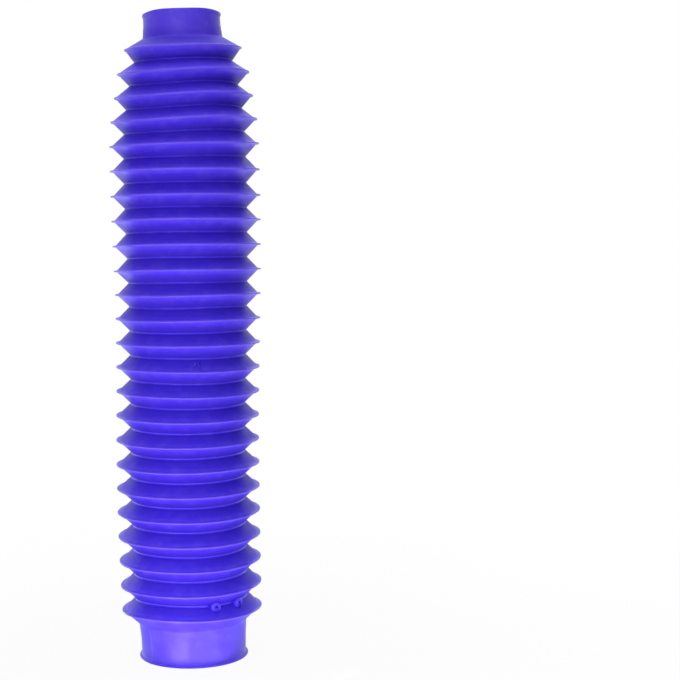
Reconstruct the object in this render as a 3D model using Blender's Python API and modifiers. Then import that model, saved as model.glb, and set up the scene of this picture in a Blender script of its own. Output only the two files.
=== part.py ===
# Fork gaiter: one moulded rubber bellows that stands on its wide cuff.
# Metres, +Z up. The floor plane is the end of the cuff at z = 0.

import math

import bpy
import bmesh
from mathutils import Vector

# Overall
HEIGHT = 0.360
RING_STEPS = 36
LEAN_ANGLE = math.radians(0.8)

# Collar, the narrow end that grips the slider
COLLAR_RIM_RADIUS = 0.0214
COLLAR_NECK_RADIUS = 0.0207
COLLAR_BASE_RADIUS = 0.0218
COLLAR_LENGTH = 0.0125
COLLAR_WALL = 0.0018
RIM_HEIGHT = 0.0022
RIM_ROUND = 0.0006

# Folds, counted from the collar down
FOLD_COUNT = 24
CREST_RADIUS = 0.0400
BELLY_SWELL = 0.0015
BELLY_FOLD = 5.5
BELLY_REACH = 7.0
SHOULDER_DROPS = (0.0080, 0.0042, 0.0025, 0.0005)
SHOULDER_RISE = 0.0073
FOOT_DROP = 0.0007
FOOT_FOLDS = 5
FOLD_DEPTH = 0.0078
FOLD_WALL = 0.0014
LIP_LENGTH = 0.0016
LIP_THICKNESS = 0.0009

# Cuff, the wide end that goes over the fork leg
CUFF_HEIGHT = 0.0186
CUFF_SHOULDER = 0.0093
CUFF_TOP_RADIUS = 0.0301
CUFF_WAIST_RADIUS = 0.0294
CUFF_WALL = 0.0020
CUFF_WAIST_HEIGHT = 0.0075
BEAD_RADIUS = 0.0306
BEAD_HEIGHT = 0.0036
BEAD_ROUND = 0.0009

# Breather vents, short tubes in the lowest valley
VENT_PAIR_SPREAD = math.radians(26.5)
VENT_PAIR_BEARING = math.radians(-47.0)
VENT_PAIRS = 2
VENT_OUTER_RADIUS = 0.0031
VENT_BORE_RADIUS = 0.0013
VENT_REACH = 0.0037
VENT_STEPS = 12
VENT_RUN_OUT = 0.004

# Rubber
RUBBER_COLOUR = (0.098, 0.062, 0.80, 1.0)
RUBBER_ROUGHNESS = 0.38

# Derived places
COLLAR_BASE_Z = HEIGHT - COLLAR_LENGTH
LOWEST_CREST_Z = CUFF_HEIGHT + CUFF_SHOULDER
TOP_CREST_Z = COLLAR_BASE_Z - SHOULDER_RISE
FOLD_PITCH = (TOP_CREST_Z - LOWEST_CREST_Z) / (FOLD_COUNT - 1)


def crest_radius(fold):
    """Radius at the tip of a fold, counted from zero at the collar."""
    offset = min(abs(fold - BELLY_FOLD) / BELLY_REACH, 1.0)
    swell = BELLY_SWELL * 0.5 * (1.0 + math.cos(math.pi * offset))
    drop = SHOULDER_DROPS[fold] if fold < len(SHOULDER_DROPS) else 0.0
    into_foot = max(0.0, 1.0 - (FOLD_COUNT - 1 - fold) / FOOT_FOLDS)
    return CREST_RADIUS + swell - drop - FOOT_DROP * into_foot ** 2


def crest_height(fold):
    """Height of the tip of a fold."""
    return TOP_CREST_Z - fold * FOLD_PITCH


def valley_radius(fold):
    """Outer radius of the valley below a fold."""
    return 0.5 * (crest_radius(fold) + crest_radius(fold + 1)) - FOLD_DEPTH


def flank_shift():
    """Sideways distance between the two faces of a fold's sloping wall."""
    rise = 0.5 * (FOLD_PITCH - LIP_THICKNESS)
    run = FOLD_DEPTH - LIP_LENGTH
    return FOLD_WALL * math.hypot(rise, run) / rise


def outer_profile():
    """Outside of the gaiter from the collar's rim to the end of the cuff."""
    points = [
        (COLLAR_RIM_RADIUS - RIM_ROUND, HEIGHT),
        (COLLAR_RIM_RADIUS, HEIGHT - RIM_ROUND),
        (COLLAR_NECK_RADIUS, HEIGHT - RIM_HEIGHT),
        (COLLAR_BASE_RADIUS, COLLAR_BASE_Z),
    ]
    for fold in range(FOLD_COUNT):
        radius = crest_radius(fold)
        height = crest_height(fold)
        root = radius - LIP_LENGTH
        points.append((root, height + 0.5 * LIP_THICKNESS))
        points.append((radius, height))
        points.append((root, height - 0.5 * LIP_THICKNESS))
        if fold < FOLD_COUNT - 1:
            points.append((valley_radius(fold), height - 0.5 * FOLD_PITCH))
    points += [
        (CUFF_TOP_RADIUS, CUFF_HEIGHT),
        (CUFF_WAIST_RADIUS, CUFF_WAIST_HEIGHT),
        (CUFF_WAIST_RADIUS, BEAD_HEIGHT),
        (BEAD_RADIUS, BEAD_HEIGHT - BEAD_ROUND),
        (BEAD_RADIUS, BEAD_ROUND),
        (BEAD_RADIUS - BEAD_ROUND, 0.0),
    ]
    return points


def inner_profile():
    """Inside of the gaiter from the end of the cuff up to the collar's rim."""
    shift = flank_shift()
    cuff_bore = CUFF_WAIST_RADIUS - CUFF_WALL
    collar_bore = COLLAR_NECK_RADIUS - COLLAR_WALL
    points = [(cuff_bore, 0.0), (cuff_bore, CUFF_HEIGHT + 0.5 * FOLD_WALL)]
    for fold in reversed(range(FOLD_COUNT)):
        height = crest_height(fold)
        if fold < FOLD_COUNT - 1:
            points.append((valley_radius(fold) - shift, height - 0.5 * FOLD_PITCH))
        root = crest_radius(fold) - LIP_LENGTH + 0.5 * LIP_THICKNESS
        points.append((root - shift, height))
    points.append((collar_bore, COLLAR_BASE_Z - 0.5 * FOLD_WALL))
    points.append((collar_bore, HEIGHT))
    return points


def clear_scene():
    for item in list(bpy.data.objects):
        bpy.data.objects.remove(item, do_unlink=True)


def new_collection(name):
    collection = bpy.data.collections.new(name)
    bpy.context.scene.collection.children.link(collection)
    return collection


def rubber_material():
    material = bpy.data.materials.new("violet_rubber")
    material.use_nodes = True
    shader = material.node_tree.nodes["Principled BSDF"]
    shader.inputs["Base Color"].default_value = RUBBER_COLOUR
    shader.inputs["Roughness"].default_value = RUBBER_ROUGHNESS
    shader.inputs["Metallic"].default_value = 0.0
    return material


def turned_body(name, collection):
    """The closed wall section, turned about +Z by a Screw modifier."""
    section = outer_profile() + inner_profile()
    mesh = bpy.data.meshes.new(name)
    sketch = bmesh.new()
    corners = [sketch.verts.new((radius, 0.0, height)) for radius, height in section]
    for index, corner in enumerate(corners):
        sketch.edges.new((corner, corners[(index + 1) % len(corners)]))
    sketch.to_mesh(mesh)
    sketch.free()
    body = bpy.data.objects.new(name, mesh)
    collection.objects.link(body)
    screw = body.modifiers.new("Turn", "SCREW")
    screw.axis = "Z"
    screw.angle = 2.0 * math.pi
    screw.steps = RING_STEPS
    screw.render_steps = RING_STEPS
    screw.use_merge_vertices = True
    screw.merge_threshold = 0.00001
    return body


def vent_bearings():
    """Bearings of the vents: pairs, spread evenly round the body."""
    bearings = []
    for pair in range(VENT_PAIRS):
        middle = VENT_PAIR_BEARING + pair * 2.0 * math.pi / VENT_PAIRS
        bearings.append(middle - 0.5 * VENT_PAIR_SPREAD)
        bearings.append(middle + 0.5 * VENT_PAIR_SPREAD)
    return bearings


def radial_pegs(name, peg_radius, start, end, height, collection):
    """Cylinders that point outward at every vent, joined as one tool."""
    pegs = bmesh.new()
    for bearing in vent_bearings():
        made = bmesh.ops.create_cone(
            pegs, cap_ends=True, segments=VENT_STEPS,
            radius1=peg_radius, radius2=peg_radius, depth=end - start)
        out = Vector((math.cos(bearing), math.sin(bearing), 0.0))
        turn = out.to_track_quat("Z", "Y").to_matrix()
        bmesh.ops.rotate(pegs, verts=made["verts"], matrix=turn)
        place = out * 0.5 * (start + end) + Vector((0.0, 0.0, height))
        bmesh.ops.translate(pegs, verts=made["verts"], vec=place)
    mesh = bpy.data.meshes.new(name)
    pegs.to_mesh(mesh)
    pegs.free()
    tool = bpy.data.objects.new(name, mesh)
    collection.objects.link(tool)
    tool.hide_render = True
    tool.display_type = "WIRE"
    return tool


def add_boolean(body, tool, operation):
    cut = body.modifiers.new(tool.name, "BOOLEAN")
    cut.operation = operation
    cut.solver = "EXACT"
    cut.object = tool


def add_vents(body, tools):
    """Bosses joined into the lowest valley, each bored through the wall."""
    lowest = FOLD_COUNT - 2
    floor = valley_radius(lowest)
    height = crest_height(lowest) - 0.5 * FOLD_PITCH
    foot = floor - 0.5 * flank_shift()
    inside = floor - flank_shift()
    tip = floor + VENT_REACH
    bosses = radial_pegs("vent_bosses", VENT_OUTER_RADIUS, foot, tip, height, tools)
    bores = radial_pegs(
        "vent_bores", VENT_BORE_RADIUS, inside - VENT_RUN_OUT, tip + VENT_RUN_OUT, height, tools)
    add_boolean(body, bosses, "UNION")
    add_boolean(body, bores, "DIFFERENCE")
    return [bosses, bores]


def add_lean(body):
    """A gentle bend to -X that leaves the end of the cuff flat."""
    lean = body.modifiers.new("Lean", "SIMPLE_DEFORM")
    lean.deform_method = "BEND"
    lean.deform_axis = "Y"
    lean.angle = -LEAN_ANGLE


def middle_of(body):
    """Middle of the finished shape in X and Y."""
    finished = body.evaluated_get(bpy.context.evaluated_depsgraph_get())
    corners = [Vector(corner) for corner in finished.bound_box]
    low = Vector([min(corner[axis] for corner in corners) for axis in range(3)])
    high = Vector([max(corner[axis] for corner in corners) for axis in range(3)])
    middle = 0.5 * (low + high)
    return Vector((middle.x, middle.y, 0.0))


clear_scene()
parts = new_collection("fork_gaiter")
tools = new_collection("cutters")

gaiter = turned_body("gaiter", parts)
gaiter.data.materials.append(rubber_material())
vent_tools = add_vents(gaiter, tools)
add_lean(gaiter)
bpy.context.view_layer.update()

# The origin is under the middle of the leaning shape
stand = bpy.data.objects.new("stand", None)
parts.objects.link(stand)
stand.location = -middle_of(gaiter)
for item in [gaiter] + vent_tools:
    item.parent = stand
bpy.context.view_layer.update()
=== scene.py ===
import math

import bpy
import bmesh
import numpy as np
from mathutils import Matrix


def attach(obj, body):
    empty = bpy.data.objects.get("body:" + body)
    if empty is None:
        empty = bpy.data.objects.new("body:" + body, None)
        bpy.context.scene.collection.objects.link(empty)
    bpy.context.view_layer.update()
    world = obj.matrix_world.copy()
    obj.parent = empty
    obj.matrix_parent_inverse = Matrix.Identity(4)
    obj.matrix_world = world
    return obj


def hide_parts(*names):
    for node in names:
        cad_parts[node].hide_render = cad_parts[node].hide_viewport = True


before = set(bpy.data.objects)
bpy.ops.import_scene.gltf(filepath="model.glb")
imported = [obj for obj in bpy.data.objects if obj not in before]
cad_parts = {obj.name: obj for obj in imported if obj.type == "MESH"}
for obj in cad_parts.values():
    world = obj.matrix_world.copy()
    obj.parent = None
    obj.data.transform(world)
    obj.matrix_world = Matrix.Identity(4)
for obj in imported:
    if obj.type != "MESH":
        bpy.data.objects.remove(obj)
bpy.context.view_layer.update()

# A fork gaiter: one moulded piece of rubber that stands on its wide cuff at z = 0.
# Lengths are in metres, folds are counted from the collar down, and bearings turn about +Z
# from +X. The viewer is near -Y.

# Collar, the narrow end. Its rim keeps its full radius over RIM_ROLL of its height.
HEIGHT = 0.3587
COLLAR_RIM_RADIUS = 0.0217
COLLAR_NECK_RADIUS = 0.0212
COLLAR_BASE_RADIUS = 0.0220
COLLAR_BASE_ROUND = 0.0014
COLLAR_FLARE = 0.0001
COLLAR_LENGTH = 0.0125
COLLAR_WALL = 0.0018
RIM_HEIGHT = 0.0022
RIM_ROLL = 0.6
RIM_ROUNDS = (0.0007, 0.0006)
NECK_ROUND = 0.0005
SIDE_ROUND = 0.003

# Folds
FOLD_COUNT = 24
CREST_RADIUS = 0.0400
BELLY_SWELL = 0.0015
BELLY_FOLD = 5.5
BELLY_REACH = 7.0
SHOULDER_DROPS = (0.0080, 0.0042, 0.0025, 0.0005)
SHOULDER_RISE = 0.0060
SHOULDER_POINTS = (0.25, 0.85)
FOOT_DROP = 0.0007
FOOT_FOLDS = 5
FOOT_POINTS = (0.25, 0.75)
FOLD_DEPTH = 0.0078
FOLD_WALL = 0.0014

# Lip at the crest of each fold, short and blunt next to the collar. Its tip is LIP_EDGE as
# thick as its root.
LIP_LENGTH = 0.0018
LIP_THICKNESS = 0.00112
LIP_EDGE = 0.66
LIP_ROUND = 0.00028
LIP_ROOT_ROUND = 0.0012
BLUNT_FOLDS = 5
BLUNT_LIP = 0.5

# Valley between two folds: a narrow flat floor with eased sides
VALLEY_FLAT = 0.00046
VALLEY_ROUND = 0.0002
VALLEY_EASE = 0.00055
VALLEY_EASE_ROUND = 0.0004

# Cuff, the wide end, with a bead round its foot
CUFF_HEIGHT = 0.0190
CUFF_SHOULDER = 0.0086
CUFF_TOP_RADIUS = 0.0301
CUFF_TOP_ROUND = 0.0012
CUFF_WAIST_RADIUS = 0.0292
CUFF_FLARE = 0.0002
CUFF_FLARE_PART = 0.55
CUFF_WALL = 0.0020
BEAD_RADIUS = 0.0306
BEAD_HEIGHT = 0.0012
BEAD_SLOPE = 0.0004
BEAD_TUCK = 0.0002
BEAD_ROUNDS = (0.0006, 0.0008, 0.0009)

# Roundings of the inside
CUFF_END_ROUND = 0.0004
BORE_ROUND = 0.001
INNER_FOLD_ROUND = 0.0006
COLLAR_END_ROUND = 0.0005

# A rounding takes at most this part of the edge on either side of its corner
ROUNDING_ROOM = 0.48

# Relief tells the material how far a place stands out, from 0 in a valley to 1 on a crest.
# The material paints light and shade by it: painted shade where it is low, in the valleys, on
# the shoulder, at the collar's base, on the foot and inside, and painted highlights where it
# is high, on the crests, next to the lips, on the collar and on the cuff.
RIM_RELIEF = (0.86, 0.80)
COLLAR_RELIEF = 0.84
COLLAR_BASE_RELIEF = 0.6
SHOULDER_RELIEF = 0.0
OVER_LIP_RELIEF = 0.8
CREST_RELIEF = 1.0
EASE_RELIEF = 0.0
FOOT_RELIEF = 0.35
CUFF_RELIEF = 0.85
BEAD_RELIEF = 0.95
CUFF_END_RELIEF = 0.9
INSIDE_RELIEF = 0.3

# Relief that changes down the folds, as (value of the top folds, value of the lowest).
# VALLEY_RELIEF paints a highlight line along each valley floor, and UNDER_LIP_RELIEF paints
# light on the flank just under each lip.
LOW_FOLDS = (4, 18)
VALLEY_RELIEF = (0.60, 0.90)
UNDER_LIP_RELIEF = (0.95, 0.80)

# Columns of the mesh, and the angle from which an edge shades sharp
COLUMNS = 120
SHARP_ANGLE = math.radians(42.0)

# Two fine mould seams, plainest on the cuff. SEAM_COLUMNS and SEAM_REACH are counted in seam
# widths, SEAM_CLEARANCE in steps between the mesh's columns.
SEAM_BEARINGS = (math.radians(-135.5), math.radians(44.5))
SEAM_WIDTH = 0.0005
SEAM_PROUD = 0.00030
# A highlight is painted along each seam by SEAM_RELIEF
SEAM_RELIEF = 0.15
SEAM_ON_FOLDS = 0.2
SEAM_COLUMNS = (-1.5, -1.0, -0.5, 0.0, 0.5, 1.0, 1.5)
SEAM_REACH = 0.6
SEAM_CLEARANCE = 0.8

# Breather vents: short tubes in the lowest valley, two on each side, that start VENT_ROOT of
# the way into the wall. A mouth is cut into the lower side of the tip, and narrows to
# VENT_MOUTH_BOTTOM of its radius over the last part of its depth, past VENT_MOUTH_STEP.
VENT_PAIR_SPREAD = math.radians(26.5)
VENT_PAIR_BEARINGS = (math.radians(-48.0), math.radians(132.0))
VENT_DROP = 0.0003
VENT_OUTER_RADIUS = 0.0029
VENT_REACH = 0.0031
VENT_ROOT = 0.6
VENT_ROUND = 0.0009
VENT_ROUND_STEPS = 4
# VENT_RELIEF paints shade on the tubes, and VENT_MOUTH_RELIEF and VENT_BORE_RELIEF paint light into
# their mouths and bores
VENT_RELIEF = 0.2
VENT_MOUTH_RADIUS = 0.0014
VENT_MOUTH_DEPTH = 0.0015
VENT_MOUTH_DROP = 0.0019
VENT_MOUTH_BOTTOM = 0.8
VENT_MOUTH_STEP = 0.7
VENT_MOUTH_RELIEF = 0.3
VENT_BORE_RADIUS = 0.0007
VENT_BORE_RELIEF = 0.6
VENT_COLUMNS = 48

# A nick in the upper side of one fold, as two torn ridges. Each point is the part of the way
# from the lip to the valley above, and the bearing in degrees. A ridge thins out to its ends.
NICK_FOLD = 13
NICK_RIDGES = (
    ((0.79, -77.3), (0.70, -77.5), (0.60, -77.8), (0.50, -78.2), (0.42, -78.5)),
    ((0.82, -73.8), (0.73, -74.7), (0.62, -75.5), (0.50, -74.8), (0.38, -73.8)),
)
NICK_WIDTHS = (0.00066, 0.00032)
NICK_RISE = 1.4
NICK_ENDS = 0.35
NICK_TAPER = 0.6
# The ridges are painted with the palest highlight
NICK_RELIEF = 1.0
NICK_COLUMNS = 10

# Derived places
COLLAR_BASE_Z = HEIGHT - COLLAR_LENGTH
LOWEST_CREST_Z = CUFF_HEIGHT + CUFF_SHOULDER
TOP_CREST_Z = COLLAR_BASE_Z - SHOULDER_RISE
FOLD_PITCH = (TOP_CREST_Z - LOWEST_CREST_Z) / (FOLD_COUNT - 1)

# How the soft gaiter stands: (height, sideways place of the ring's middle)
CENTRE_LINE = (
    (0.000, 0.0031), (0.028, 0.0022), (0.080, 0.0008), (0.125, 0.0004), (0.165, 0.0008),
    (0.205, 0.0010), (0.245, 0.0003), (0.290, -0.0005), (0.330, -0.0008), (0.342, -0.0009),
    (0.350, -0.0013), (0.360, -0.0017),
)
# (height; how far the ring has slipped up in mm, how far its viewer's side nods down in degrees,
# how far its +X side is up in degrees, and how much it waves three times round in mm)
SLIP, NOD, TILT, WAVE = 1, 2, 3, 4
STANCE = (
    (0.0000, 0.00, 0.0, 0.0, 0.00),
    (0.0080, 0.00, 0.0, 0.0, 0.00),
    (0.0190, 0.85, 0.0, 1.0, 0.00),
    (0.0279, -0.35, -1.2, 0.5, -0.35),
    (0.0415, 0.09, 0.0, 0.7, -0.27),
    (0.0620, 0.45, 0.8, 0.5, -0.20),
    (0.0822, 0.54, 1.1, 0.45, -0.15),
    (0.1094, 0.20, 0.8, 0.4, 0.00),
    (0.1365, 0.35, 1.2, -0.15, 0.00),
    (0.1570, 0.25, 1.1, -0.25, -0.12),
    (0.1773, 0.20, 0.4, 0.25, 0.00),
    (0.1980, 0.10, 0.3, 0.7, 0.18),
    (0.2180, -0.28, -0.6, 0.97, -0.10),
    (0.2452, 0.03, -0.3, 1.0, -0.05),
    (0.2587, 0.10, 0.6, 0.9, 0.00),
    (0.2723, 0.60, 1.6, 1.05, 0.00),
    (0.2859, 0.95, 2.35, 1.7, 0.05),
    (0.2995, 0.77, 2.35, 2.2, 0.40),
    (0.3130, 0.20, 2.4, 2.2, 0.45),
    (0.3266, -0.38, 2.9, 2.15, 0.38),
    (0.3402, -0.64, 3.7, 1.8, 0.00),
    (0.3460, -0.50, 4.2, 1.95, 0.00),
    (0.3587, 0.00, 0.2, 2.4, 0.00),
)
# (height, change of the fold's radius at its crest)
GIRTH = (
    (0.000, 0.0), (0.019, 0.0), (0.0279, -0.0001), (0.100, -0.0001), (0.150, -0.00025),
    (0.178, 0.0), (0.300, 0.0), (0.3266, 0.00025), (0.3402, 0.00028), (0.3587, 0.0),
)
# (height, change of the fold's depth)
DEPTH_CHANGE = (
    (0.000, 0.0), (0.040, 0.0), (0.062, 0.0003), (0.090, 0.00045), (0.123, 0.0002), (0.160, 0.0),
    (0.190, -0.0002), (0.290, -0.0002), (0.310, -0.0004), (0.335, -0.0005), (0.345, 0.0),
)
MILLIMETRE = 0.001
VIEWER_BEARING = math.radians(-83.8)
WAVE_LOBES = 3.0
RIM_WAVE = 0.00015
RIM_LOBES = 5
OVAL = 0.003
OVAL_BEARING = 0.6
OVAL_TWIST = 9.0

# Colours of the rubber by relief, with painted shade deeper in the valleys and painted
# highlights paler where it stands out
SHADED_RUBBER_COLOURS = (
    (0.00, (0.044, 0.015, 0.59)),
    (0.10, (0.064, 0.026, 0.65)),
    (0.32, (0.066, 0.026, 0.74)),
    (0.52, (0.073, 0.028, 0.82)),
    (0.70, (0.097, 0.043, 0.91)),
    (0.85, (0.113, 0.058, 0.96)),
    (1.00, (0.175, 0.103, 0.99)),
)
BLOOM_COLOUR = (0.135, 0.105, 0.70, 1.0)
# Paler colour of the rub marks, laid on by relief: partly wear and partly painted highlight
RUBBED_AND_HIGHLIGHT_COLOUR = (0.210, 0.135, 0.90, 1.0)
SPECULAR_LEVEL = 0.25

# Roughness falls from the flanks to the crests, from this relief up
POLISH_START = 0.6
FLANK_ROUGHNESS = 0.42
CREST_ROUGHNESS = 0.27

# Noise over the rubber: (scale, detail, lowest value, highest value)
BLOOM = (45.0, 4.0, 0.0, 0.10)
RUBBING = (160.0, 5.0, -0.25, 0.35)
SMUDGES = (70.0, 6.0, 0.0, 0.10)
UNEVENNESS = (110.0, 2.0, 0.0, 1.0)
GRAIN = (1500.0, 3.0, 0.0, 1.0)
NOISE_RANGE = (0.3, 0.7)

# Bumps: (distance, strength)
UNEVENNESS_BUMP = (0.0004, 0.12)
GRAIN_BUMP = (0.0001, 0.10)

# Floor: white where it is seen, and slightly less so near the object, where its shadow shows
FLOOR_SIZE = 8.0
FLOOR_COLOUR = (0.88, 0.88, 0.88, 1.0)
FLOOR_FADE = (0.03, 0.45)
FLOOR_WHITENESS = (0.95, 1.0)

# Camera: its focal length is counted in pixels of a frame this wide, its dip in degrees
FOCAL_PIXELS = 1400.0
FRAME_PIXELS = 680.0
SENSOR_WIDTH = 36.0
CAMERA_PLACE = (0.08594, -0.7834, 0.22792)
CAMERA_DIP = 3.617

# Soft light: (name, bearing and distance from the gaiter's axis, height, angle that it faces up,
# size, watts), with angles in degrees
WORLD_LIGHT = 0.045
SOFTBOXES = (
    ("low_far_left", -130.0, 0.36, 0.03, 20.0, (0.16, 0.06), 0.036),
    ("low_left", -108.0, 0.36, 0.03, 20.0, (0.16, 0.06), 0.23),
    ("low_right", -68.0, 0.36, 0.03, 20.0, (0.16, 0.06), 0.11),
    ("floor_left", -142.0, 0.25, 0.01, 90.0, (0.24, 0.30), 0.138),
    ("floor_front", -106.0, 0.25, 0.01, 90.0, (0.24, 0.30), 0.080),
    ("floor_right", -70.0, 0.25, 0.01, 90.0, (0.24, 0.30), 0.146),
    ("floor_far_right", -30.0, 0.25, 0.01, 90.0, (0.24, 0.30), 0.106),
    ("cuff_far_left", -155.0, 0.085, 0.002, 90.0, (0.018, 0.10), 0.006),
    ("cuff_left", -99.0, 0.085, 0.002, 90.0, (0.018, 0.10), 0.028),
    ("cuff_right", -70.0, 0.085, 0.002, 90.0, (0.018, 0.10), 0.010),
    ("cuff_far_right", -54.0, 0.085, 0.002, 90.0, (0.018, 0.10), 0.015),
    ("cuff_side_right", -12.0, 0.096, 0.002, 90.0, (0.03, 0.10), 0.0135),
    ("cuff_low_right", -33.0, 0.10, 0.004, 0.0, (0.05, 0.008), 0.0012),
    ("front", -84.0, 1.1, 0.28, -5.0, (0.5, 0.5), 0.52),
    ("top", -90.0, 0.0, 1.3, -90.0, (1.0, 1.0), 7.0),
    ("high", -100.0, 0.9, 0.8, -40.0, (0.9, 0.9), 3.2),
    ("high_right", -40.0, 0.9, 0.8, -40.0, (0.9, 0.9), 0.27),
    ("back_left", 150.0, 0.9, 0.25, 0.0, (0.9, 0.5), 0.8),
    ("high_back", 80.0, 0.9, 0.8, -40.0, (0.9, 0.9), 1.2),
    ("low_back_left", 142.0, 0.36, 0.03, 20.0, (0.16, 0.06), 0.17),
    ("low_back_right", 40.0, 0.36, 0.03, 20.0, (0.16, 0.06), 0.16),
    ("floor_back", 100.0, 0.25, 0.01, 90.0, (0.24, 0.30), 0.12),
)


def smooth_curve(points, at):
    """A smooth line through (place, value) points that never passes beyond them, read at places."""
    places = np.array([point[0] for point in points])
    values = np.array([point[1] for point in points])
    steps = np.diff(values) / np.diff(places)
    product, total = steps[:-1] * steps[1:], steps[:-1] + steps[1:]
    same_way = product > 0.0
    slopes = np.zeros(len(places))
    slopes[1:-1][same_way] = 2.0 * product[same_way] / total[same_way]
    index = np.clip(np.searchsorted(places, at) - 1, 0, len(places) - 2)
    gap = places[index + 1] - places[index]
    t = np.clip((at - places[index]) / gap, 0.0, 1.0)
    start, end = values[index], values[index + 1]
    return (start * (1 + 2 * t) * (1 - t) ** 2 + slopes[index] * gap * t * (1 - t) ** 2
            + end * t ** 2 * (3 - 2 * t) + slopes[index + 1] * gap * t ** 2 * (t - 1))


def crest_radius(fold):
    """Radius at the tip of a fold."""
    offset = min(abs(fold - BELLY_FOLD) / BELLY_REACH, 1.0)
    swell = BELLY_SWELL * 0.5 * (1.0 + math.cos(math.pi * offset))
    drop = SHOULDER_DROPS[fold] if fold < len(SHOULDER_DROPS) else 0.0
    into_foot = max(0.0, 1.0 - (FOLD_COUNT - 1 - fold) / FOOT_FOLDS)
    girth = float(smooth_curve(GIRTH, np.array(crest_height(fold))))
    return CREST_RADIUS + swell - drop - FOOT_DROP * into_foot ** 2 + girth


def crest_height(fold):
    """Height of the tip of a fold."""
    return TOP_CREST_Z - fold * FOLD_PITCH


def valley_radius(fold):
    """Outer radius of the valley below a fold."""
    depth = FOLD_DEPTH + float(smooth_curve(DEPTH_CHANGE, np.array(valley_height(fold))))
    return 0.5 * (crest_radius(fold) + crest_radius(fold + 1)) - depth


def valley_height(fold):
    """Height of the valley below a fold."""
    return crest_height(fold) - 0.5 * FOLD_PITCH


def lip_length(fold):
    """The folds next to the collar have short blunt lips."""
    return LIP_LENGTH * min(1.0, BLUNT_LIP + (1.0 - BLUNT_LIP) * fold / BLUNT_FOLDS)


def down_the_folds(fold, values):
    """Passes from the value of the top folds to that of the lowest."""
    first, last = LOW_FOLDS
    lowness = min(max((fold - first) / (last - first), 0.0), 1.0)
    return values[0] + lowness * (values[1] - values[0])


def slope_points(start, end, parts, relief):
    """Plain corners at the given parts of the way between two places (r, z)."""
    return [(start[0] + part * (end[0] - start[0]), start[1] + part * (end[1] - start[1]),
             relief, 0.0, 0) for part in parts]


def outside_corners():
    """Corners down the outside, from the collar's rim to the end of the cuff.

    Each is (r, z, relief, rounding radius, steps), as rounded() takes them.
    """
    half_lip = 0.5 * LIP_THICKNESS
    half_edge = LIP_EDGE * half_lip
    half_flat = 0.5 * VALLEY_FLAT
    corners = [
        (COLLAR_RIM_RADIUS, HEIGHT, RIM_RELIEF[0], RIM_ROUNDS[0], 4),
        (COLLAR_RIM_RADIUS, HEIGHT - RIM_ROLL * RIM_HEIGHT, RIM_RELIEF[1], RIM_ROUNDS[1], 3),
        (COLLAR_NECK_RADIUS, HEIGHT - RIM_HEIGHT, COLLAR_RELIEF, NECK_ROUND, 3),
        (COLLAR_NECK_RADIUS + COLLAR_FLARE, HEIGHT - 0.5 * COLLAR_LENGTH,
         COLLAR_RELIEF, SIDE_ROUND, 2),
        (COLLAR_BASE_RADIUS, COLLAR_BASE_Z, COLLAR_BASE_RELIEF, COLLAR_BASE_ROUND, 5),
    ]
    top_root = (crest_radius(0) - lip_length(0), TOP_CREST_Z + half_lip)
    corners += slope_points((COLLAR_BASE_RADIUS, COLLAR_BASE_Z), top_root,
                            SHOULDER_POINTS, SHOULDER_RELIEF)
    for fold in range(FOLD_COUNT):
        radius, height = crest_radius(fold), crest_height(fold)
        root = radius - lip_length(fold)
        # painted light on the flank under the lip
        under_lip = down_the_folds(fold, UNDER_LIP_RELIEF)
        corners += [
            (root, height + half_lip, OVER_LIP_RELIEF, LIP_ROOT_ROUND, 3),
            (radius, height + half_edge, CREST_RELIEF, LIP_ROUND, 3),
            (radius, height - half_edge, CREST_RELIEF, LIP_ROUND, 3),
            (root, height - half_lip, under_lip, LIP_ROOT_ROUND, 3),
        ]
        if fold < FOLD_COUNT - 1:
            floor, middle = valley_radius(fold), valley_height(fold)
            eased = floor + VALLEY_EASE
            # a highlight line painted along the valley floor
            line = down_the_folds(fold, VALLEY_RELIEF)
            corners += [
                (eased, middle + half_flat + VALLEY_EASE, EASE_RELIEF, VALLEY_EASE_ROUND, 1),
                (floor, middle + half_flat, line, VALLEY_ROUND, 1),
                (floor, middle - half_flat, line, VALLEY_ROUND, 1),
                (eased, middle - half_flat - VALLEY_EASE, EASE_RELIEF, VALLEY_EASE_ROUND, 1),
            ]
    low_root = (crest_radius(FOLD_COUNT - 1) - LIP_LENGTH, LOWEST_CREST_Z - half_lip)
    corners += slope_points(low_root, (CUFF_TOP_RADIUS, CUFF_HEIGHT), FOOT_POINTS, FOOT_RELIEF)
    corners += [
        (CUFF_TOP_RADIUS, CUFF_HEIGHT, CUFF_RELIEF, CUFF_TOP_ROUND, 4),
        (CUFF_WAIST_RADIUS + CUFF_FLARE, CUFF_FLARE_PART * CUFF_HEIGHT,
         CUFF_RELIEF, SIDE_ROUND, 2),
        (CUFF_WAIST_RADIUS, BEAD_HEIGHT + BEAD_SLOPE, BEAD_RELIEF, BEAD_ROUNDS[0], 3),
        (BEAD_RADIUS, BEAD_HEIGHT - BEAD_SLOPE, BEAD_RELIEF, BEAD_ROUNDS[1], 4),
        (BEAD_RADIUS - BEAD_TUCK, 0.0, CUFF_END_RELIEF, BEAD_ROUNDS[2], 4),
    ]
    return corners


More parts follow.
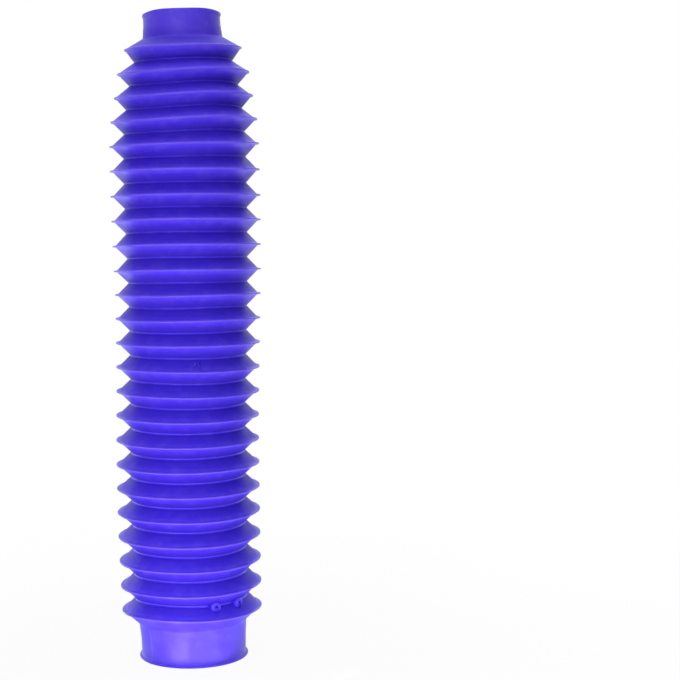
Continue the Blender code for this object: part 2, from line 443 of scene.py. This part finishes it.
def inside_corners():
    """Corners up the inside, from the end of the cuff to the collar's rim."""
    rise = 0.5 * (FOLD_PITCH - LIP_THICKNESS)
    run = FOLD_DEPTH - LIP_LENGTH
    shift = FOLD_WALL * math.hypot(rise, run) / rise
    cuff_bore = CUFF_WAIST_RADIUS - CUFF_WALL
    collar_bore = COLLAR_NECK_RADIUS - COLLAR_WALL
    corners = [
        (cuff_bore, 0.0, INSIDE_RELIEF, CUFF_END_ROUND, 2),
        (cuff_bore, CUFF_HEIGHT + 0.5 * FOLD_WALL, INSIDE_RELIEF, BORE_ROUND, 2),
    ]
    for fold in reversed(range(FOLD_COUNT)):
        if fold < FOLD_COUNT - 1:
            valley = valley_radius(fold) - shift
            corners.append((valley, valley_height(fold), INSIDE_RELIEF, INNER_FOLD_ROUND, 1))
        crest = crest_radius(fold) - LIP_LENGTH + 0.5 * LIP_THICKNESS - shift
        corners.append((crest, crest_height(fold), INSIDE_RELIEF, INNER_FOLD_ROUND, 1))
    corners += [
        (collar_bore, COLLAR_BASE_Z - 0.5 * FOLD_WALL, INSIDE_RELIEF, BORE_ROUND, 2),
        (collar_bore, HEIGHT, INSIDE_RELIEF, COLLAR_END_ROUND, 2),
    ]
    return corners


def rounded(corners):
    """A closed section with each corner (r, z, relief, rounding radius, steps) made a curve.

    A corner with no steps stays a plain point.
    """
    made = []
    count = len(corners)
    for index, corner in enumerate(corners):
        radius, steps = corner[3:]
        here = np.array(corner[:3])
        if steps == 0:
            made.append(here)
            continue
        before = np.array(corners[index - 1][:3]) - here
        after = np.array(corners[(index + 1) % count][:3]) - here
        length_before, length_after = np.linalg.norm(before[:2]), np.linalg.norm(after[:2])
        before, after = before / length_before, after / length_after
        half = 0.5 * math.acos(max(-1.0, min(1.0, float(before[:2] @ after[:2]))))
        reach = min(radius / math.tan(half),
                    ROUNDING_ROOM * length_before, ROUNDING_ROOM * length_after)
        start, end = here + before * reach, here + after * reach
        for step in range(steps + 1):
            t = step / steps
            made.append((1 - t) ** 2 * start + 2 * t * (1 - t) * here + t ** 2 * end)
    return made


def section():
    """The wall in one half plane as points (r, z, relief): down the outside, up the inside.

    The second value is the number of points on the outside.
    """
    outside = outside_corners()
    outer_rows = sum(corner[4] + 1 for corner in outside)
    return np.array(rounded(outside + inside_corners())), outer_rows


def wrapped(bearing):
    """The same bearing between -180 and 180 degrees, in radians."""
    return (bearing + math.pi) % (2.0 * math.pi) - math.pi


def columns():
    """Bearings of the mesh's columns, with a tight group at each mould seam."""
    even = [2.0 * math.pi * i / COLUMNS - math.pi for i in range(COLUMNS)]
    step = 2.0 * math.pi / COLUMNS
    tight = []
    for seam in SEAM_BEARINGS:
        even = [b for b in even if abs(wrapped(b - seam)) > SEAM_CLEARANCE * step]
        tight += [seam + widths * SEAM_WIDTH / CREST_RADIUS for widths in SEAM_COLUMNS]
    return np.array(sorted(wrapped(b) for b in even + tight))


def stance(column, height):
    """One column of STANCE, as a smooth curve over the height."""
    return smooth_curve([(row[0], row[column]) for row in STANCE], height)


def stand_and_sag(radius, bearing, height):
    """Places of the turned points once the soft gaiter leans, tilts and waves a little."""
    facing = bearing - VIEWER_BEARING
    near_rim = np.clip((height - COLLAR_BASE_Z) / COLLAR_LENGTH, 0.0, 1.0)
    wave = stance(WAVE, height) * np.sin(WAVE_LOBES * facing)
    lift = MILLIMETRE * (stance(SLIP, height) + wave)
    lift = lift + RIM_WAVE * (1.0 - np.cos(RIM_LOBES * facing)) * near_rim
    oval = OVAL * np.cos(2.0 * (bearing - OVAL_BEARING) + OVAL_TWIST * height)
    radius = radius * (1.0 + oval)
    x, y = radius * np.cos(bearing), radius * np.sin(bearing)
    lift = lift + x * np.sin(np.radians(stance(TILT, height)))
    lift = lift + y * np.sin(np.radians(stance(NOD, height)))
    return np.stack((x + smooth_curve(CENTRE_LINE, height), y, height + lift), -1)


def add_relief(mesh, values):
    """Stores the relief of each vertex for the material."""
    level = mesh.attributes.new("relief", "FLOAT", "POINT")
    level.data.foreach_set("value", values.astype(np.float32))


def gaiter_mesh():
    """The whole wall, turned in columns and then stood up as a soft thing stands."""
    wall, outer_rows = section()
    bearings = columns()
    rows, cols = len(wall), len(bearings)
    radius = np.repeat(wall[:, 0][:, None], cols, 1)
    height = np.repeat(wall[:, 1][:, None], cols, 1)
    relief = np.repeat(wall[:, 2][:, None], cols, 1)
    bearing = np.repeat(bearings[None, :], rows, 0)
    on_cuff = wall[:outer_rows, 1] < CUFF_HEIGHT
    strength = np.where(on_cuff, 1.0, SEAM_ON_FOLDS)[:, None]
    # Each seam stands proud, with a highlight painted along it
    for seam in SEAM_BEARINGS:
        on_seam = strength * (abs(bearings - seam) < SEAM_REACH * SEAM_WIDTH / CREST_RADIUS)
        radius[:outer_rows] += SEAM_PROUD * on_seam
        relief[:outer_rows] += SEAM_RELIEF * on_seam
    places = stand_and_sag(radius, bearing, height).reshape(-1, 3)
    row, col = np.meshgrid(np.arange(rows), np.arange(cols), indexing="ij")
    next_row, next_col = (row + 1) % rows, (col + 1) % cols
    faces = np.stack((row * cols + col, next_row * cols + col,
                      next_row * cols + next_col, row * cols + next_col), -1).reshape(-1, 4)
    mesh = bpy.data.meshes.new("fork_gaiter")
    mesh.from_pydata(places.tolist(), [], faces.tolist())
    mesh.update()
    mesh.shade_smooth()
    add_relief(mesh, np.clip(relief, 0.0, 1.0).ravel())
    return mesh


def closed_tube(name, places, count, relief):
    """A closed solid skinned over rings of points, with flat ends."""
    faces = [tuple(range(count))[::-1], tuple(range(len(places) - count, len(places)))]
    for first in range(0, len(places) - count, count):
        for i in range(count):
            j = (i + 1) % count
            faces.append((first + i, first + j, first + count + j, first + count + i))
    mesh = bpy.data.meshes.new(name)
    mesh.from_pydata(places.tolist(), [], faces)
    mesh.update()
    work = bmesh.new()
    work.from_mesh(mesh)
    bmesh.ops.recalc_face_normals(work, faces=work.faces)
    work.to_mesh(mesh)
    work.free()
    mesh.shade_smooth()
    add_relief(mesh, np.full(len(places), relief))
    solid = bpy.data.objects.new(name, mesh)
    bpy.context.scene.collection.objects.link(solid)
    return solid


def lathe(name, profile, bearing, height, relief):
    """A closed solid turned about a line that points outward from the axis of the gaiter.

    The profile is (radius, distance from the axis of the gaiter) points.
    """
    angles = np.arange(VENT_COLUMNS) * 2.0 * math.pi / VENT_COLUMNS
    out = np.array((math.cos(bearing), math.sin(bearing), 0.0))
    aside = np.array((-math.sin(bearing), math.cos(bearing), 0.0))
    up = np.array((0.0, 0.0, 1.0))
    rings = [place * out + radius * (np.cos(angle) * aside + np.sin(angle) * up)
             for radius, place in profile for angle in angles]
    points = np.array(rings) + height * up
    bearings = np.arctan2(points[:, 1], points[:, 0])
    places = stand_and_sag(np.hypot(points[:, 0], points[:, 1]), bearings, points[:, 2])
    return closed_tube(name, places, VENT_COLUMNS, relief)


def vent_steps():
    """Tubes joined to the lowest valley, then their mouths and bores cut through the wall."""
    lowest = FOLD_COUNT - 2
    height = valley_height(lowest) - VENT_DROP
    floor = valley_radius(lowest)
    tip = floor + VENT_REACH
    boss = [(VENT_OUTER_RADIUS, floor - VENT_ROOT * FOLD_WALL),
            (VENT_OUTER_RADIUS, tip - VENT_ROUND)]
    for step in range(1, VENT_ROUND_STEPS + 1):
        turn = 0.5 * math.pi * step / VENT_ROUND_STEPS
        boss.append((VENT_OUTER_RADIUS - VENT_ROUND * (1.0 - math.cos(turn)),
                     tip - VENT_ROUND * (1.0 - math.sin(turn))))
    mouth = [(VENT_MOUTH_BOTTOM * VENT_MOUTH_RADIUS, tip - VENT_MOUTH_DEPTH),
             (VENT_MOUTH_RADIUS, tip - VENT_MOUTH_STEP * VENT_MOUTH_DEPTH),
             (VENT_MOUTH_RADIUS, tip + VENT_REACH)]
    bore = [(VENT_BORE_RADIUS, floor - 2.0 * VENT_REACH), (VENT_BORE_RADIUS, tip + VENT_REACH)]
    bearings = [middle + side * VENT_PAIR_SPREAD
                for middle in VENT_PAIR_BEARINGS for side in (-0.5, 0.5)]
    # Each tool's relief paints shade on the tubes and light into the mouths and bores
    kinds = (
        ("UNION", "boss", boss, height, VENT_RELIEF),
        ("DIFFERENCE", "mouth", mouth, height - VENT_MOUTH_DROP, VENT_MOUTH_RELIEF),
        ("DIFFERENCE", "bore", bore, height, VENT_BORE_RELIEF),
    )
    return [(operation, lathe(name, profile, bearing, level, relief))
            for operation, name, profile, level, relief in kinds for bearing in bearings]


def nick_ridge(path, width):
    """A closed sliver that lies along a path on the upper side of the nicked fold."""
    lip = np.array((crest_radius(NICK_FOLD) - LIP_LENGTH,
                    crest_height(NICK_FOLD) + 0.5 * LIP_THICKNESS))
    valley = np.array((valley_radius(NICK_FOLD - 1), crest_height(NICK_FOLD) + 0.5 * FOLD_PITCH))
    along = (valley - lip) / np.linalg.norm(valley - lip)
    proud = np.array((along[1], -along[0]))
    angles = np.arange(NICK_COLUMNS) * 2.0 * math.pi / NICK_COLUMNS
    length = len(path) - 1 + 2 * NICK_ENDS
    points = []
    for index, (part, degrees) in enumerate(path):
        fullness = math.sin(math.pi * (index + NICK_ENDS) / length) ** NICK_TAPER
        middle = lip + part * (valley - lip)
        lift = NICK_RISE * width * fullness * np.sin(angles)
        radii = middle[0] + lift * proud[0]
        heights = middle[1] + lift * proud[1]
        bearings = math.radians(degrees) + width * fullness * np.cos(angles) / middle[0]
        points.append(np.stack((radii, bearings, heights), -1))
    points = np.concatenate(points)
    places = stand_and_sag(points[:, 0], points[:, 1], points[:, 2])
    return closed_tube("nick", places, NICK_COLUMNS, NICK_RELIEF)


def nick_steps():
    """The nick's ridges, joined to their fold."""
    return [("UNION", nick_ridge(path, width)) for path, width in zip(NICK_RIDGES, NICK_WIDTHS)]


def join_and_cut(body, steps):
    """Applies (operation, tool) steps to the body one after another, and deletes the tools."""
    for operation, tool in steps:
        change = body.modifiers.new(tool.name, "BOOLEAN")
        change.operation = operation
        change.solver = "EXACT"
        change.object = tool
    shape = body.evaluated_get(bpy.context.evaluated_depsgraph_get())
    finished = bpy.data.meshes.new_from_object(shape)
    body.modifiers.clear()
    for _, tool in steps:
        bpy.data.objects.remove(tool, do_unlink=True)
    body.data = finished
    finished.set_sharp_from_angle(angle=SHARP_ANGLE)


def node(tree, kind, **settings):
    """A new node with its properties set."""
    made = tree.nodes.new(kind)
    for name, value in settings.items():
        setattr(made, name, value)
    return made


def noise(tree, place, pattern):
    """A Noise texture over the object's own space, mapped from its middle range to low..high."""
    scale, detail, low, high = pattern
    cloud = node(tree, "ShaderNodeTexNoise")
    cloud.inputs["Scale"].default_value = scale
    cloud.inputs["Detail"].default_value = detail
    spread = node(tree, "ShaderNodeMapRange")
    spread.inputs["From Min"].default_value = NOISE_RANGE[0]
    spread.inputs["From Max"].default_value = NOISE_RANGE[1]
    spread.inputs["To Min"].default_value = low
    spread.inputs["To Max"].default_value = high
    tree.links.new(place, cloud.inputs["Vector"])
    tree.links.new(cloud.outputs["Fac"], spread.inputs["Value"])
    return spread.outputs["Result"]


def bump(tree, height, size, below=None):
    """A bump of size (distance, strength), on top of another one if there is one below."""
    made = node(tree, "ShaderNodeBump")
    made.inputs["Distance"].default_value = size[0]
    made.inputs["Strength"].default_value = size[1]
    tree.links.new(height, made.inputs["Height"])
    if below is not None:
        tree.links.new(below, made.inputs["Normal"])
    return made.outputs["Normal"]


def blend(tree, factor, first, second_colour):
    """The first colour, mixed with a plain second one by a factor."""
    mix = node(tree, "ShaderNodeMix", data_type="RGBA")
    mix.inputs["B"].default_value = second_colour
    tree.links.new(factor, mix.inputs["Factor"])
    tree.links.new(first, mix.inputs["A"])
    return mix.outputs["Result"]


def rubber():
    """Violet rubber with shade and highlights painted by relief, mottled, and with paler rub marks
    where it stands out, partly wear and partly painted highlight.
    """
    material = bpy.data.materials.new("violet_rubber")
    material.use_nodes = True
    tree = material.node_tree
    shader = tree.nodes["Principled BSDF"]
    shader.inputs["Specular IOR Level"].default_value = SPECULAR_LEVEL
    place = node(tree, "ShaderNodeTexCoord").outputs["Object"]
    relief = node(tree, "ShaderNodeAttribute", attribute_name="relief").outputs["Fac"]

    # Painted shade and highlights: the ramp colours by relief, dark in the valleys and pale on the
    # crests
    shade_ramp = node(tree, "ShaderNodeValToRGB")
    stops = shade_ramp.color_ramp.elements
    for level, _ in SHADED_RUBBER_COLOURS[1:-1]:
        stops.new(level)
    for stop, (_, colour) in zip(stops, SHADED_RUBBER_COLOURS):
        stop.color = colour + (1.0,)
    tree.links.new(relief, shade_ramp.inputs["Fac"])
    mottled = blend(tree, noise(tree, place, BLOOM), shade_ramp.outputs["Color"], BLOOM_COLOUR)
    # Rub marks in noisy patches laid on by relief: partly wear, partly painted highlight on what
    # stands out
    rubbed_and_highlit = node(tree, "ShaderNodeMath", operation="MULTIPLY", use_clamp=True)
    tree.links.new(noise(tree, place, RUBBING), rubbed_and_highlit.inputs[0])
    tree.links.new(relief, rubbed_and_highlit.inputs[1])
    worn_and_highlit = blend(tree, rubbed_and_highlit.outputs[0], mottled, RUBBED_AND_HIGHLIGHT_COLOUR)
    tree.links.new(worn_and_highlit, shader.inputs["Base Color"])

    polish = node(tree, "ShaderNodeMapRange")
    polish.inputs["From Min"].default_value = POLISH_START
    polish.inputs["To Min"].default_value = FLANK_ROUGHNESS
    polish.inputs["To Max"].default_value = CREST_ROUGHNESS
    tree.links.new(relief, polish.inputs["Value"])
    roughness = node(tree, "ShaderNodeMath", operation="ADD")
    tree.links.new(polish.outputs["Result"], roughness.inputs[0])
    tree.links.new(noise(tree, place, SMUDGES), roughness.inputs[1])
    tree.links.new(roughness.outputs[0], shader.inputs["Roughness"])
    uneven = bump(tree, noise(tree, place, UNEVENNESS), UNEVENNESS_BUMP)
    grain = bump(tree, noise(tree, place, GRAIN), GRAIN_BUMP, uneven)
    tree.links.new(grain, shader.inputs["Normal"])
    return material


def seen_directly(tree):
    """1 for camera, glossy and transmission rays, 0 for the rays that light the object."""
    path = node(tree, "ShaderNodeLightPath")
    first = node(tree, "ShaderNodeMath", operation="MAXIMUM")
    second = node(tree, "ShaderNodeMath", operation="MAXIMUM")
    tree.links.new(path.outputs["Is Camera Ray"], first.inputs[0])
    tree.links.new(path.outputs["Is Glossy Ray"], first.inputs[1])
    tree.links.new(first.outputs[0], second.inputs[0])
    tree.links.new(path.outputs["Is Transmission Ray"], second.inputs[1])
    return second.outputs[0]


def paper():
    """A white sweep that keeps a soft shadow near the object and shows no edge further out."""
    material = bpy.data.materials.new("white_sweep")
    material.use_nodes = True
    tree = material.node_tree
    tree.nodes.clear()
    place = node(tree, "ShaderNodeNewGeometry")
    distance = node(tree, "ShaderNodeVectorMath", operation="LENGTH")
    fade = node(tree, "ShaderNodeMapRange", interpolation_type="SMOOTHSTEP")
    fade.inputs["From Min"].default_value = FLOOR_FADE[0]
    fade.inputs["From Max"].default_value = FLOOR_FADE[1]
    fade.inputs["To Min"].default_value = FLOOR_WHITENESS[0]
    fade.inputs["To Max"].default_value = FLOOR_WHITENESS[1]
    part = node(tree, "ShaderNodeMath", operation="MULTIPLY")
    matt = node(tree, "ShaderNodeBsdfDiffuse")
    matt.inputs["Color"].default_value = FLOOR_COLOUR
    white = node(tree, "ShaderNodeEmission")
    mix = node(tree, "ShaderNodeMixShader")
    out = node(tree, "ShaderNodeOutputMaterial")
    tree.links.new(place.outputs["Position"], distance.inputs[0])
    tree.links.new(distance.outputs["Value"], fade.inputs["Value"])
    tree.links.new(fade.outputs["Result"], part.inputs[0])
    tree.links.new(seen_directly(tree), part.inputs[1])
    tree.links.new(part.outputs[0], mix.inputs["Fac"])
    tree.links.new(matt.outputs[0], mix.inputs[1])
    tree.links.new(white.outputs[0], mix.inputs[2])
    tree.links.new(mix.outputs[0], out.inputs["Surface"])
    return material


def softbox(name, bearing, distance, height, rise, size, watts):
    """A rectangular lamp that faces the gaiter's axis or up, and isn't seen itself."""
    bearing, rise = math.radians(bearing), math.radians(rise)
    data = bpy.data.lights.new(name, "AREA")
    data.shape = "RECTANGLE"
    data.size, data.size_y = size
    data.energy = watts
    lamp = bpy.data.objects.new(name, data)
    bpy.context.scene.collection.objects.link(lamp)
    lamp.visible_camera = False
    lamp.location = (distance * math.cos(bearing), distance * math.sin(bearing), height)
    lamp.rotation_euler = (rise + math.radians(90.0), 0.0, bearing + math.radians(90.0))


# The gaiter
skin = bpy.data.objects.new("fork_gaiter", gaiter_mesh())
bpy.context.scene.collection.objects.link(skin)
join_and_cut(skin, vent_steps() + nick_steps())
skin.data.materials.clear()
skin.data.materials.append(rubber())
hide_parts("gaiter")
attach(skin, "root")

# Floor
bpy.ops.mesh.primitive_plane_add(size=FLOOR_SIZE, location=(0.0, 0.0, 0.0))
floor = bpy.context.object
floor.name = "floor"
floor.data.materials.append(paper())

# Camera
camera_data = bpy.data.cameras.new("camera")
camera_data.sensor_width = SENSOR_WIDTH
camera_data.lens = SENSOR_WIDTH * FOCAL_PIXELS / FRAME_PIXELS
camera = bpy.data.objects.new("camera", camera_data)
bpy.context.scene.collection.objects.link(camera)
camera.location = CAMERA_PLACE
camera.rotation_euler = (math.radians(90.0 - CAMERA_DIP), 0.0, 0.0)
bpy.context.scene.camera = camera

# Light
for settings in SOFTBOXES:
    softbox(*settings)

world = bpy.data.worlds.new("studio")
bpy.context.scene.world = world
world.use_nodes = True
world.cycles.sampling_method = "NONE"
sky = world.node_tree
background = sky.nodes["Background"]
background.inputs["Color"].default_value = (1.0, 1.0, 1.0, 1.0)
strength = node(sky, "ShaderNodeMapRange")
strength.inputs["To Min"].default_value = WORLD_LIGHT
strength.inputs["To Max"].default_value = 1.0
sky.links.new(seen_directly(sky), strength.inputs["Value"])
sky.links.new(strength.outputs["Result"], background.inputs["Strength"])

bpy.context.scene.view_settings.view_transform = "Standard"
